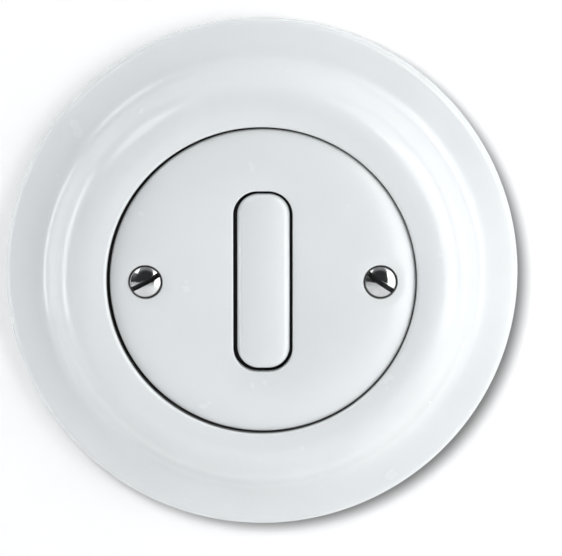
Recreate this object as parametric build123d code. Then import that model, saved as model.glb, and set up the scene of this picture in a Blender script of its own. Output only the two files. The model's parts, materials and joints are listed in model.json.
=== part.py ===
from build123d import *
from math import cos, hypot, radians, sin, sqrt
import os

# Round porcelain pushbutton switch for a wall box, in millimetres.
# It is drawn lying down, with x to the right, y up the wall and z out of the wall,
# and is turned upright when it is written, so that its front faces -Y.

# Cover frame
frame_radius = 50.0
frame_bore_radius = 30.0
frame_rim_height = 3.4
frame_rim_round = 1.6
flank_width = 4.7
flare_height = 5.3
flare_round = 4.5
band_width = 7.5
crest_height = 13.6
crest_round = 7.5
lip_drop = 0.7
lip_round = 0.9
ledge_radius = 26.5
ledge_thickness = 2.4
frame_wall = 4.0
crest_wall_extra = 0.4
hollow_round = 1.5
ledge_root_round = 1.0
recess_clearance = 0.6
recess_side_gap = 1.69
frame_edge_round = 0.4

# The frame sits a little to the left of the plate, by its play on the ledge
frame_play = 0.24

# Centre plate
plate_gap = 0.36
plate_seat = 9.0
plate_edge_height = 2.4
plate_crest_inset = 9.6
plate_crest_height = 4.4
plate_dish_height = 3.6
plate_roll_angle = 27.0
plate_edge_round = 0.35
slot_width = 11.5
slot_length = 35.4
slot_corner = 4.7

# Plate screws, M3.5 with raised countersunk heads
plate_screw_spacing = 45.4
screw_head_radius = 3.2
screw_shank_radius = 1.7
screw_head_gap = 0.22
screw_hole_gap = 0.2
screw_tip_below = 1.2
screw_tip_chamfer = 0.4
head_crown = 0.9
head_slot_width = 0.9
head_slot_depth = 1.2
left_slot_angle = 29.0
right_slot_angle = -36.0
dimple_radius = 5.2
dimple_depth = 0.45
head_below_dimple = 0.1

# Push key
key_gap = 0.55
key_corner = 4.1
key_crown_height = 1.05
key_crown_radius = 14.0
key_edge_round = 0.7
key_travel = 2.5
key_stop_gap = 0.2
glue_gap = 0.1

# Key carrier
shoulder_overlap = 0.8
shoulder_thickness = 1.8
boss_width = 5.6
boss_length = 27.0
boss_height = 2.0
boss_corner = 0.9
stem_width = 6.0
stem_depth = 9.0
stem_sill = 2.4
stem_chamfer = 0.5
end_stop_gap = 0.3

# Return springs
return_spring_offset = 10.0
return_spring_radius = 2.2
return_wire_radius = 0.3
return_spring_turns = 5.5
spring_pocket_radius = 3.0
spring_pocket_depth = 1.5
spring_seat_gap = 0.05
spigot_gap = 0.4
spigot_height = 1.2

# Contact spring and moving contact
contact_spring_radius = 1.7
contact_wire_radius = 0.25
contact_spring_turns = 5.5
contact_spring_length = 6.6
contact_spigot_height = 0.8
bridge_share = 0.8
bridge_length = 23.0
bridge_width = 5.0
bridge_thickness = 0.8
bridge_corner = 1.2
bridge_depth = 11.6
bridge_side_gap = 0.2
bridge_seat_gap = 0.05
tip_radius = 1.6
tip_thickness = 0.9
tip_spacing = 19.0
tip_round = 0.25
touch_gap = 0.02

# Fixed contacts and terminals
strip_thickness = 0.9
strip_width = 5.0
strip_corner = 0.8
strip_inner_x = 7.3
strip_outer_x = 18.0
strip_gap = 0.1
strip_slot_length = 2.0
cage_inner_x = 12.3
cage_width = 6.6
cage_depth = 7.6
cage_recess = 0.38
cage_gap = 0.1
cage_round = 0.4
wire_x = 15.6
wire_radius = 1.6
terminal_screw_radius = 1.5
terminal_thread_gap = 0.05
terminal_head_radius = 2.6
terminal_head_height = 1.9
terminal_head_round = 0.5
terminal_head_gap = 0.05
terminal_access_gap = 0.3
terminal_tip_gap = 0.1
terminal_slot_width = 0.8
terminal_slot_depth = 0.9

# Support ring
ring_side = 71.0
ring_corner_cut = 12.0
ring_thickness = 1.2
ring_opening_radius = 17.0
ring_edge_round = 2.0
box_screw_spacing = 60.0
box_screw_hole_radius = 1.8
box_slot_length = 8.0

# Thread bushes
bush_radius = 3.0
bush_height = 4.2
bush_spigot_radius = 2.1
bush_spigot_below = 0.6
bush_thread_gap = 0.1
bush_fit_gap = 0.05

# Base and its cover
base_side = 41.0
base_corner_cut = 3.0
base_depth = 25.0
base_floor = 6.7
cover_thickness = 3.0
collar_width = 13.0
collar_length = 30.0
collar_corner = 6.0
stem_gap = 0.15
chamber_width = 24.0
chamber_length = 14.0
well_width = 14.0
pocket_wall = 1.8
pocket_width = 9.0
pocket_depth = 12.0
pocket_corner = 1.0

# Rivets
rivet_pitch = 33.0
rivet_shank_radius = 1.25
rivet_bore_radius = 0.7
rivet_head_radius = 2.2
rivet_head_height = 0.8
rivet_head_round = 0.6
rivet_hole_gap = 0.1
rivet_grip = 6.0
rivet_sink_gap = 0.4

# Claws
pin_radius = 0.9
pin_height = 22.6
pin_depth = 3.4
pin_proud = 0.2
pin_ear_gap = 0.02
pin_claw_gap = 0.05
ear_thickness = 1.2
ear_margin = 0.9
claw_width = 9.2
claw_side_gap = 0.4
claw_sheet = 1.5
claw_hub_radius = 1.9
claw_arm_reach = 5.6
claw_arm_drop = 1.8
claw_leg_offset = 0.4
claw_leg_length = 13.6
claw_tooth_reach = 1.7
claw_tooth_drop = 1.5
claw_slot_end = 9.5
claw_screw_offset = 2.8
claw_screw_radius = 1.5
claw_screw_head_radius = 2.5
claw_screw_head_height = 2.0
claw_screw_head_round = 0.8
claw_screw_slot_depth = 1.0
claw_screw_length = 10.2
claw_screw_side_gap = 0.2
claw_screw_end_gap = 0.25
claw_screw_hole_gap = 0.2
claw_tooth_count = 5
claw_tooth_depth = 1.0

# How far a cutter reaches past what it cuts
overshoot = 1.0

# Places worked out from the sizes above
crest_radius = frame_bore_radius + band_width
flare_radius = crest_radius + flank_width
ring_reach = hypot(ring_side / 2, ring_side / 2 - ring_corner_cut)
recess_radius = ring_reach + frame_play + recess_side_gap
plate_radius = frame_bore_radius - plate_gap
dish_floor = plate_seat + plate_dish_height
plate_screw_x = plate_screw_spacing / 2
head_seat = plate_seat + plate_crest_height - dimple_depth - head_below_dimple
head_cone_height = screw_head_radius - screw_shank_radius
key_width = slot_width - 2 * key_gap
key_length = slot_length - 2 * key_gap
key_top = dish_floor + key_crown_height
shoulder_top = plate_seat - key_stop_gap
shoulder_bottom = shoulder_top - shoulder_thickness
collar_top = shoulder_bottom - key_travel - end_stop_gap
pocket_floor = -spring_pocket_depth
bridge_travel = bridge_share * key_travel
bridge_top = -bridge_depth
bridge_bottom = bridge_top - bridge_thickness
window_bottom = bridge_bottom - bridge_seat_gap
window_top = bridge_top + contact_spring_length
stem_bottom = window_bottom - stem_sill
tip_x = tip_spacing / 2
fixed_tip_top = bridge_bottom - tip_thickness - bridge_travel - touch_gap
strip_top = fixed_tip_top - tip_thickness
strip_bottom = strip_top - strip_thickness
cage_outer_x = cage_inner_x + cage_width
cage_bottom = -base_depth + cage_recess
terminal_z = (strip_bottom + cage_bottom) / 2
rivet_x = rivet_pitch / 2
rivet_seat = -cover_thickness - rivet_grip
box_screw_x = box_screw_spacing / 2
ear_inner_x = claw_width / 2 + claw_side_gap
claw_screw_y = pin_height + claw_screw_offset

wall_pose = Plane(origin=(0, 0, 0), x_dir=(1, 0, 0), z_dir=(0, -1, 0)).location


def turned(section):
    """Solid of revolution about z from a face drawn with radius across and z up."""
    return revolve(Plane.XZ * section, Axis.Z)


def block(x_size, y_size, low, high):
    """Box centred on the z axis between two heights."""
    return Pos(0, 0, (low + high) / 2) * Box(x_size, y_size, high - low)


def disc(radius, low, high):
    """Cylinder on the z axis between two heights."""
    return Pos(0, 0, (low + high) / 2) * Cylinder(radius, high - low)


def prism(outline, low, high):
    """Outline in the xy plane pulled up between two heights."""
    return Pos(0, 0, low) * extrude(outline, high - low)


def cut_corner_square(side, cut):
    """Square whose four corners are cut off at 45 degrees."""
    square = Rectangle(side, side)
    return chamfer(square.vertices(), cut)


def top_rim(shape):
    """Highest round edge of a turned shape."""
    return shape.edges().filter_by(GeomType.CIRCLE).sort_by(Axis.Z)[-1]


def bottom_rim(shape):
    """Lowest round edge of a turned shape."""
    return shape.edges().filter_by(GeomType.CIRCLE).sort_by(Axis.Z)[0]


def cap_radius(half_width, height):
    """Radius of the sphere that gives a dome of this height over this half width."""
    return (half_width**2 + height**2) / (2 * height)


def cover_frame():
    """Porcelain ring: flared rim, steep flank, crest, inner band, bore and inner ledge."""
    recess_top = ring_thickness + recess_clearance
    ledge_bottom = plate_seat - ledge_thickness
    slope = (crest_height - flare_height) / (flare_radius - crest_radius)
    flank_offset = frame_wall * sqrt(1 + slope**2) / slope
    hollow_foot = flare_radius + (flare_height - recess_top) / slope - flank_offset
    hollow_top = crest_height - frame_wall - crest_wall_extra
    hollow_crest = hollow_foot - (hollow_top - recess_top) / slope
    hollow_inner = hollow_crest - (hollow_top - ledge_bottom)
    points = [
        (recess_radius, 0),
        (frame_radius, 0),
        (frame_radius, frame_rim_height),
        (flare_radius, flare_height),
        (crest_radius, crest_height),
        (frame_bore_radius, crest_height - lip_drop),
        (frame_bore_radius, plate_seat),
        (ledge_radius, plate_seat),
        (ledge_radius, ledge_bottom),
        (hollow_inner, ledge_bottom),
        (hollow_crest, hollow_top),
        (hollow_foot, recess_top),
        (recess_radius, recess_top),
    ]
    radii = [
        0,
        frame_edge_round,
        frame_rim_round,
        flare_round,
        crest_round,
        lip_round,
        frame_edge_round,
        frame_edge_round,
        frame_edge_round,
        ledge_root_round,
        hollow_round,
        hollow_round,
        frame_edge_round,
    ]
    section = make_face(FilletPolyline(*points, radius=radii, close=True))
    return Pos(-frame_play, 0, 0) * turned(section)


def screw_seat():
    """Dimple, countersink and clearance hole of one plate screw, at the origin."""
    surface = plate_seat + plate_crest_height
    sphere = cap_radius(dimple_radius, dimple_depth)
    dimple = Pos(0, 0, surface - dimple_depth + sphere) * Sphere(sphere)
    seat_radius = screw_head_radius + screw_head_gap
    hole_radius = screw_shank_radius + screw_hole_gap
    cone_height = seat_radius - hole_radius
    cone_middle = head_seat - cone_height / 2
    cone = Pos(0, 0, cone_middle) * Cone(hole_radius, seat_radius, cone_height)
    mouth = disc(seat_radius, head_seat, surface)
    hole = disc(hole_radius, plate_seat - overshoot, head_seat)
    return dimple + cone + mouth + hole


def centre_plate():
    """Porcelain plate: rolled edge, crest ring, shallow dish, key slot and screw places."""
    edge = (plate_radius, plate_seat + plate_edge_height)
    crest = (plate_radius - plate_crest_inset, plate_seat + plate_crest_height)
    floor = (0, dish_floor)
    roll = radians(plate_roll_angle)
    top = Spline(edge, crest, floor, tangents=[(-cos(roll), sin(roll)), (-1, 0), (-1, 0)])
    sides = Polyline(floor, (0, plate_seat), (plate_radius, plate_seat), edge)
    plate = turned(make_face([*top.edges(), *sides.edges()]))
    plate = plate.fillet(plate_edge_round, plate.edges().sort_by(Axis.Z)[:2])
    slot = RectangleRounded(slot_width, slot_length, slot_corner)
    plate -= prism(slot, plate_seat - overshoot, plate_seat + plate_crest_height + overshoot)
    for side in (-1, 1):
        plate -= Pos(side * plate_screw_x, 0, 0) * screw_seat()
    return plate


def plate_screw(angle):
    """Raised countersunk slotted screw with its head in the plate's seat, on the z axis."""
    cone_low = head_seat - head_cone_height
    cone_middle = head_seat - head_cone_height / 2
    cone = Pos(0, 0, cone_middle) * Cone(screw_shank_radius, screw_head_radius, head_cone_height)
    sphere = cap_radius(screw_head_radius, head_crown)
    crown = Pos(0, 0, head_seat + head_crown - sphere) * Sphere(sphere)
    crown &= disc(screw_head_radius, head_seat, head_seat + head_crown)
    shank = disc(screw_shank_radius, -screw_tip_below, cone_low)
    shank = chamfer(shank.edges().sort_by(Axis.Z)[:1], screw_tip_chamfer)
    slot_floor = head_seat + head_crown - head_slot_depth
    slot = block(3 * screw_head_radius, head_slot_width, slot_floor, head_seat + 2 * head_crown)
    return cone + crown + shank - Rot(0, 0, angle) * slot


def push_key():
    """Tall porcelain key with a face crowned across its width and rolled ends."""
    outline = RectangleRounded(key_width, key_length, key_corner)
    body = prism(outline, shoulder_top, key_top + overshoot)
    crown = Rot(90, 0, 0) * Cylinder(key_crown_radius, 2 * key_length)
    body &= Pos(0, 0, key_top - key_crown_radius) * crown
    rim = body.edges().filter_by(lambda e: e.bounding_box().min.Z > shoulder_top + key_edge_round)
    body = body.fillet(key_edge_round, rim)
    pocket_x = boss_width + 2 * glue_gap
    pocket_y = boss_length + 2 * glue_gap
    pocket = RectangleRounded(pocket_x, pocket_y, boss_corner + glue_gap)
    return body - prism(pocket, shoulder_top - overshoot, shoulder_top + boss_height + glue_gap)


def key_carrier():
    """Carrier under the key: shoulder, boss for the key, spring spigots, stem with a window."""
    shoulder_x = slot_width + 2 * shoulder_overlap
    shoulder_y = slot_length + 2 * shoulder_overlap
    outline = RectangleRounded(shoulder_x, shoulder_y, slot_corner + shoulder_overlap)
    body = prism(outline, shoulder_bottom, shoulder_top)
    boss = RectangleRounded(boss_width, boss_length, boss_corner)
    body += prism(boss, shoulder_top, shoulder_top + boss_height)
    body += block(stem_width, stem_depth, stem_bottom, shoulder_bottom)
    body -= block(2 * stem_width, bridge_width + 2 * bridge_side_gap, window_bottom, window_top)
    lower_edges = body.edges().group_by(Axis.Z)[0]
    body = chamfer(lower_edges, stem_chamfer)
    spigot_radius = return_spring_radius - return_wire_radius - spigot_gap
    spigot = disc(spigot_radius, shoulder_bottom - spigot_height, shoulder_bottom)
    for side in (-1, 1):
        body += Pos(0, side * return_spring_offset, 0) * spigot
    upper_radius = contact_spring_radius - contact_wire_radius - spigot_gap
    body += disc(upper_radius, window_top - contact_spigot_height, window_top)
    return body


def coil(radius, wire, turns, low, high):
    """Open coil spring between two seats, on the z axis."""
    height = high - low - 2 * wire - 2 * spring_seat_gap
    path = Helix(height / turns, height, radius)
    start = Plane(path @ 0, z_dir=path % 0)
    wire_solid = sweep(start * Circle(wire), path=path, is_frenet=True)
    return Pos(0, 0, low + wire + spring_seat_gap) * wire_solid


def return_spring(side):
    """Return spring between the cover's pocket and the carrier's shoulder."""
    spring = coil(
        return_spring_radius,
        return_wire_radius,
        return_spring_turns,
        pocket_floor,
        shoulder_bottom,
    )
    return Pos(0, side * return_spring_offset, 0) * spring


def contact_spring():
    """Spring in the stem's window that presses the bridge down."""
    return coil(
        contact_spring_radius,
        contact_wire_radius,
        contact_spring_turns,
        bridge_top,
        window_top,
    )


def contact_bridge():
    """Brass bar through the stem's window, with a spigot for its spring."""
    outline = RectangleRounded(bridge_length, bridge_width, bridge_corner)
    bar = prism(outline, bridge_bottom, bridge_top)
    spigot_radius = contact_spring_radius - contact_wire_radius - spigot_gap
    return bar + disc(spigot_radius, bridge_top, bridge_top + contact_spigot_height)


def contact_tip(low, face_up):
    """Silver contact tip with a rounded rim round its working face, on the z axis."""
    tip = disc(tip_radius, low, low + tip_thickness)
    rim = top_rim(tip) if face_up else bottom_rim(tip)
    return tip.fillet(tip_round, [rim])


def bridge_tip(side):
    """Moving contact tip under one end of the bridge."""
    return Pos(side * tip_x, 0, 0) * contact_tip(bridge_bottom - tip_thickness, False)


def fixed_tip(side):
    """Fixed contact tip on the strip."""
    return Pos(side * tip_x, 0, 0) * contact_tip(strip_top, True)


def fixed_contact(side):
    """Brass strip from under the tip to the top of the terminal cage."""
    length = strip_outer_x - strip_inner_x
    middle = (strip_outer_x + strip_inner_x) / 2
    outline = RectangleRounded(length, strip_width, strip_corner)
    return Pos(side * middle, 0, 0) * prism(outline, strip_bottom, strip_top)


def terminal_cage(side):
    """Brass terminal block with a wire bore from the back and a screw hole from the side."""
    middle = (cage_inner_x + cage_outer_x) / 2
    cage = Pos(middle, 0, 0) * block(cage_width, cage_depth, cage_bottom, strip_bottom)
    cage = fillet(cage.edges().filter_by(Axis.Z), cage_round)
    cage -= Pos(wire_x, 0, 0) * disc(wire_radius, cage_bottom - overshoot, strip_bottom + overshoot)
    thread = Cylinder(terminal_screw_radius + terminal_thread_gap, cage_outer_x - wire_x + overshoot)
    thread_middle = (cage_outer_x + wire_x + overshoot) / 2
    cage -= Pos(thread_middle, 0, terminal_z) * Rot(0, 90, 0) * thread
    return cage if side > 0 else mirror(cage, about=Plane.YZ)


def terminal_screw(side):
    """Slotted terminal screw, its head in the side of the base."""
    tip = wire_x + wire_radius + terminal_tip_gap
    head_face = cage_outer_x + terminal_head_gap
    shank = disc(terminal_screw_radius, tip, head_face)
    head_top = head_face + terminal_head_height
    head = disc(terminal_head_radius, head_face, head_top)
    head = head.fillet(terminal_head_round, [top_rim(head)])
    slot_floor = head_top - terminal_slot_depth
    slot = block(terminal_slot_width, 3 * terminal_head_radius, slot_floor, head_top + overshoot)
    screw = Pos(0, 0, terminal_z) * Rot(0, 90, 0) * (shank + head - slot)
    return screw if side > 0 else mirror(screw, about=Plane.YZ)


def at_rivets(shape):
    """The shape at each of the four rivet places."""
    places = [Pos(x * rivet_x, y * rivet_x, 0) for x in (-1, 1) for y in (-1, 1)]
    return [place * shape for place in places]


def base_cover():
    """Guide plate over the base, with a collar for the stem and two spring pockets."""
    body = prism(cut_corner_square(base_side, base_corner_cut), -cover_thickness, 0)
    collar = RectangleRounded(collar_width, collar_length, collar_corner)
    body += prism(collar, 0, collar_top)
    hole = Rectangle(stem_width + 2 * stem_gap, stem_depth + 2 * stem_gap)
    body -= prism(hole, -cover_thickness - overshoot, collar_top + overshoot)
    pocket = disc(spring_pocket_radius, pocket_floor, collar_top + overshoot)
    for side in (-1, 1):
        body -= Pos(0, side * return_spring_offset, 0) * pocket
    hole = disc(rivet_shank_radius + rivet_hole_gap, -cover_thickness - overshoot, overshoot)
    for cutter in at_rivets(hole):
        body -= cutter
    return body


def terminal_space():
    """Space in the base for the right terminal: cage pocket, strip slot and screw opening."""
    low = -base_depth - overshoot
    width = cage_width + 2 * cage_gap
    middle = (cage_inner_x + cage_outer_x) / 2
    roof = strip_top + strip_gap
    space = Pos(middle, 0, 0) * block(width, cage_depth + 2 * cage_gap, low, roof)
    strip_space = strip_width + 2 * strip_gap
    space += Pos(cage_inner_x, 0, 0) * block(strip_slot_length, strip_space, strip_bottom, roof)
    opening = Cylinder(terminal_head_radius + terminal_access_gap, base_side / 2)
    opening_x = cage_outer_x + base_side / 4 - cage_gap
    return space + Pos(opening_x, 0, terminal_z) * Rot(0, 90, 0) * opening


def insert_base():
    """Ceramic base: contact chamber and well in front, pockets and terminal spaces behind."""
    outline = cut_corner_square(base_side, base_corner_cut)
    body = prism(outline, -base_depth, -cover_thickness)
    top = -cover_thickness + overshoot
    body -= block(chamber_width, chamber_length, strip_bottom, top)
    body -= block(well_width, chamber_length, -base_depth + base_floor, top)
    space = terminal_space()
    body -= space
    body -= mirror(space, about=Plane.YZ)
    pocket_length = base_side / 2 - chamber_length / 2 - 2 * pocket_wall
    pocket_y = chamber_length / 2 + pocket_wall + pocket_length / 2
    pocket_x = pocket_wall / 2 + pocket_width / 2
    pocket = RectangleRounded(pocket_width, pocket_length, pocket_corner)
    pocket = prism(pocket, -base_depth - overshoot, -base_depth + pocket_depth)
    for x in (-1, 1):
        for y in (-1, 1):
            body -= Pos(x * pocket_x, y * pocket_y, 0) * pocket
    hole = disc(rivet_shank_radius + rivet_hole_gap, rivet_seat - overshoot, top)
    sink = disc(rivet_head_radius + rivet_sink_gap, -base_depth - overshoot, rivet_seat)
    for cutter in at_rivets(hole + sink):
        body -= cutter
    return body


def base_rivets():
    """Four hollow rivets through ring, cover and base."""
    front = disc(rivet_head_radius, ring_thickness, ring_thickness + rivet_head_height)
    front = front.fillet(rivet_head_round, [top_rim(front)])
    shank = disc(rivet_shank_radius, rivet_seat, ring_thickness)
    back = disc(rivet_head_radius, rivet_seat - rivet_head_height, rivet_seat)
    back = back.fillet(rivet_head_round, [bottom_rim(back)])
    bore_low = rivet_seat - rivet_head_height - overshoot
    bore = disc(rivet_bore_radius, bore_low, ring_thickness + rivet_head_height + overshoot)
    rivet = front + shank + back - bore
    return Compound([solid for placed in at_rivets(rivet) for solid in placed.solids()])


def support_ring():
    """Pressed steel ring: opening, screw holes and slots, bent ears for the claw pins."""
    outline = cut_corner_square(ring_side, ring_corner_cut)
    outline = fillet(outline.vertices(), ring_edge_round)
    outline -= Circle(ring_opening_radius)
    for x in (-1, 1):
        outline -= Pos(x * box_screw_x, 0) * Circle(box_screw_hole_radius)
        outline -= Pos(x * plate_screw_x, 0) * Circle(bush_spigot_radius + bush_fit_gap)
    slot = SlotOverall(box_slot_length, 2 * box_screw_hole_radius)
    ear_size = 2 * (pin_radius + ear_margin)
    window = Rectangle(pin_depth + ear_size / 2, ear_size)
    window_x = ear_inner_x + ear_thickness + (pin_depth + ear_size / 2) / 2
    for y in (-1, 1):
        outline -= Pos(0, y * box_screw_x) * slot
        outline -= Pos(0, y * claw_screw_y) * Circle(claw_screw_radius + claw_screw_hole_gap)
        for x in (-1, 1):
            outline -= Pos(x * window_x, y * pin_height) * window
    for place in at_rivets(Circle(rivet_shank_radius + rivet_hole_gap)):
        outline -= place
    body = prism(outline, 0, ring_thickness)
    ear = Pos(pin_height, -pin_depth / 2) * Rectangle(ear_size, pin_depth)
    ear += Pos(pin_height, -pin_depth) * Circle(ear_size / 2)
    ear -= Pos(pin_height, -pin_depth) * Circle(pin_radius + pin_ear_gap)
    ear_solid = extrude(Plane.YZ * ear, ear_thickness)
    for x in (ear_inner_x, -ear_inner_x - ear_thickness):
        right_way_up = Pos(x, 0, 0) * ear_solid
        body += right_way_up
        body += mirror(right_way_up, about=Plane.XZ)
    return body


def thread_bush(side):
    """Brass bush riveted into the ring for one plate screw."""
    body = disc(bush_radius, ring_thickness, ring_thickness + bush_height)
    body += disc(bush_spigot_radius, -bush_spigot_below, ring_thickness)
    thread_low = -bush_spigot_below - overshoot
    thread_high = ring_thickness + bush_height + overshoot
    body -= disc(screw_shank_radius + bush_thread_gap, thread_low, thread_high)
    return Pos(side * plate_screw_x, 0, 0) * body


def claw():
    """Upper spreading claw: hub on the pin, slotted arm, forked leg and toothed end."""
    half = claw_sheet / 2
    hub = Circle(claw_hub_radius)
    arm_middle = claw_arm_reach / 2
    arm = Pos(arm_middle, -claw_arm_drop) * Rectangle(claw_arm_reach, claw_sheet)
    leg_top = -claw_arm_drop + half
    leg_middle = (leg_top - claw_leg_length) / 2
    leg = Pos(claw_leg_offset, leg_middle) * Rectangle(claw_sheet, claw_leg_length + leg_top)
    knee = (claw_leg_offset - half, -claw_leg_length)
    tooth = Polyline(
        knee,
        (claw_leg_offset + half, -claw_leg_length),
        (claw_leg_offset + half + claw_tooth_reach, -claw_leg_length - claw_tooth_drop),
        (claw_leg_offset + half, -claw_leg_length - claw_tooth_drop - half),
        knee,
    )
    profile = hub + arm + leg + make_face(tooth)
    body = extrude(Plane.YZ * profile, claw_width / 2, both=True)
    body -= Rot(0, 90, 0) * Cylinder(pin_radius + pin_claw_gap, 2 * claw_width)
    slot_outer = claw_screw_offset + claw_screw_radius + claw_screw_end_gap
    slot_inner = -claw_hub_radius - overshoot
    slot_x = 2 * (claw_screw_radius + claw_screw_side_gap)
    slot = block(slot_x, slot_outer - slot_inner, -claw_slot_end, claw_hub_radius + overshoot)
    body -= Pos(0, (slot_outer + slot_inner) / 2, 0) * slot
    notch_pitch = claw_width / claw_tooth_count
    notch = Rot(0, 0, 45) * Box(claw_tooth_depth, claw_tooth_depth, 3 * claw_tooth_drop)
    notch_y = claw_leg_offset + half + claw_tooth_reach
    for i in range(claw_tooth_count - 1):
        x = (i + 1) * notch_pitch - claw_width / 2
        body -= Pos(x, notch_y, -claw_leg_length - claw_tooth_drop) * notch
    return Pos(0, pin_height, -pin_depth) * body


def claw_pin():
    """Upper hinge pin through the ring's ears."""
    half = ear_inner_x + ear_thickness + pin_proud
    pin = Rot(0, 90, 0) * Cylinder(pin_radius, 2 * half)
    return Pos(0, pin_height, -pin_depth) * pin


def claw_screw():
    """Upper claw screw: slotted pan head on the ring, thread through the claw's arm."""
    head_top = ring_thickness + claw_screw_head_height
    head = disc(claw_screw_head_radius, ring_thickness, head_top)
    head = head.fillet(claw_screw_head_round, [top_rim(head)])
    slot_floor = head_top - claw_screw_slot_depth
    slot = block(3 * claw_screw_head_radius, head_slot_width, slot_floor, head_top + overshoot)
    shank = disc(claw_screw_radius, ring_thickness - claw_screw_length, ring_thickness)
    return Pos(0, claw_screw_y, 0) * (head + shank - slot)


def write(name, shape):
    """Turn one piece upright and write it under its name."""
    export_step(wall_pose * shape, f"parts/{name}.step")


os.makedirs("parts", exist_ok=True)

write("cover_frame", cover_frame())
write("centre_plate", centre_plate())
write("plate_screw_left", Pos(-plate_screw_x, 0, 0) * plate_screw(left_slot_angle))
write("plate_screw_right", Pos(plate_screw_x, 0, 0) * plate_screw(right_slot_angle))
write("push_key", push_key())
write("key_carrier", key_carrier())
write("contact_spring", contact_spring())
write("contact_bridge", contact_bridge())
write("support_ring", support_ring())
write("base_cover", base_cover())
write("insert_base", insert_base())
write("base_rivets", base_rivets())

for side_name, side_sign in (("left", -1), ("right", 1)):
    write(f"bridge_tip_{side_name}", bridge_tip(side_sign))
    write(f"fixed_tip_{side_name}", fixed_tip(side_sign))
    write(f"fixed_contact_{side_name}", fixed_contact(side_sign))
    write(f"terminal_cage_{side_name}", terminal_cage(side_sign))
    write(f"terminal_screw_{side_name}", terminal_screw(side_sign))
    write(f"thread_bush_{side_name}", thread_bush(side_sign))

write("return_spring_upper", return_spring(1))
write("return_spring_lower", return_spring(-1))
for piece_name, piece in (("claw", claw()), ("claw_pin", claw_pin()), ("claw_screw", claw_screw())):
    write(f"{piece_name}_upper", piece)
    write(f"{piece_name}_lower", mirror(piece, about=Plane.XZ))
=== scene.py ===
import json
import math

import bpy
import bmesh
from mathutils import Matrix, Vector
from mathutils.geometry import delaunay_2d_cdt


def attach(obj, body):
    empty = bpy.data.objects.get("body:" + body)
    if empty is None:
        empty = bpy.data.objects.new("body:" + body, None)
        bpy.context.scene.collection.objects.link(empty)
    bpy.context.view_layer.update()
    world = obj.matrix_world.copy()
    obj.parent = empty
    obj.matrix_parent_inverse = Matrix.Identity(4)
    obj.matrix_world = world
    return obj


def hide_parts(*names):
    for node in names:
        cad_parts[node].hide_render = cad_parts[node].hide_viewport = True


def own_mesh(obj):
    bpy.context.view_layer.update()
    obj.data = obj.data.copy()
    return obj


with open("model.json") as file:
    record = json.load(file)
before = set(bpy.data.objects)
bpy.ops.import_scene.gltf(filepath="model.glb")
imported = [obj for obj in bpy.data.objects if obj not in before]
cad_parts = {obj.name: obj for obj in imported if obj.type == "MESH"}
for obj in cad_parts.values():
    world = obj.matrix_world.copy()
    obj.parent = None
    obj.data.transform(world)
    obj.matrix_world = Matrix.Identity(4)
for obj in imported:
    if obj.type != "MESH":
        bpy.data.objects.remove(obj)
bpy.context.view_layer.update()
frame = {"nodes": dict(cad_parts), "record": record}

# Sizes in millimetres, with x to the right, y up the wall and z out of the wall
MM = 0.001

# Cover frame
FRAME_RADIUS = 50.0
FRAME_BORE = 30.0
RIM_HEIGHT = 3.4
RIM_ROUND = 1.6
FLARE_RADIUS = 42.2
FLARE_HEIGHT = 5.3
FLARE_ROUND = 4.5
CREST_RADIUS = 37.5
CREST_HEIGHT = 13.6
CREST_ROUND = 7.5
LIP_DROP = 1.2
LIP_ROUND = 0.9
LEDGE_RADIUS = 26.5
LEDGE_BOTTOM = 6.6
LEDGE_ROOT_ROUND = 1.0
RECESS_RADIUS = 44.5
RECESS_TOP = 1.8
HOLLOW_FOOT = (39.59, 1.8)
HOLLOW_CREST = (35.39, 9.2)
HOLLOW_INNER = 32.79
HOLLOW_ROUND = 1.5
FRAME_EDGE_ROUND = 0.4
FRAME_SHIFT = (-0.24, 0.0)

# Centre plate
PLATE_RADIUS = 29.64
PLATE_SEAT = 9.0
PLATE_EDGE = 11.35
PLATE_EDGE_ROUND = 0.35
PLATE_CREST_RADIUS = 20.04
PLATE_CREST = 13.4
PLATE_ROLL_POWER = 2.3
PLATE_FLOOR = 12.9
SLOT_WIDTH = 11.5
SLOT_LENGTH = 35.4
SLOT_CORNER = 4.7
SLOT_ROUND = 0.3
SLOT_DIP = 0.36
SLOT_DIP_REACH = 8.0
SCREW_X = 22.7
SEAT_RADIUS = 3.3
SEAT_ROUND = 0.15
HOLE_RADIUS = 1.9
HEAD_SEAT = 12.85
DIMPLE_RADIUS = 5.2
DIMPLE_DEPTH = 0.45

# Rings of points in the plate's mesh
EDGE_RING_POINTS = 240
EDGE_STEPS = 6
ROLL_RINGS = 8
ROLL_RING_GAP = 0.5
DISH_RINGS = 16
DISH_RING_GAP = 1.2
DISH_RING_POINTS = 220
DISH_RING_FEWER = 10
DISH_CLEAR_OF_SEAT = 6.2
DISH_CLEAR_OF_SLOT = 3.2
SLOT_EDGE_POINTS = 64
SLOT_RINGS = ((1.2, 48), (2.4, 40))
SEAT_STEPS = 4
SEAT_RING_POINTS = 72
CONE_RING = 2.6
DIMPLE_RINGS = (3.95, 4.25, 4.55, 4.85, 5.2, 5.6)

# Push key
KEY_WIDTH = 10.15
KEY_LENGTH = 34.05
KEY_CORNER = 4.1
KEY_BOTTOM = 8.8
KEY_SIDE_TOP = 11.3
KEY_TOP = 13.65
KEY_CROWN_RADIUS = 14.0
KEY_EDGE_ROUND = 1.0
KEY_END_ROUND = 2.6
KEY_END_DROP = 0.32
KEY_END_POWER = 2.2
KEY_SHIFT = (0.11, 0.11)
KEY_OUTLINE_POINTS = 96
KEY_EDGE_STEPS = 8
KEY_FACE_STEPS = 20
KEY_MIDDLE_SHARE = 0.999

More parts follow.
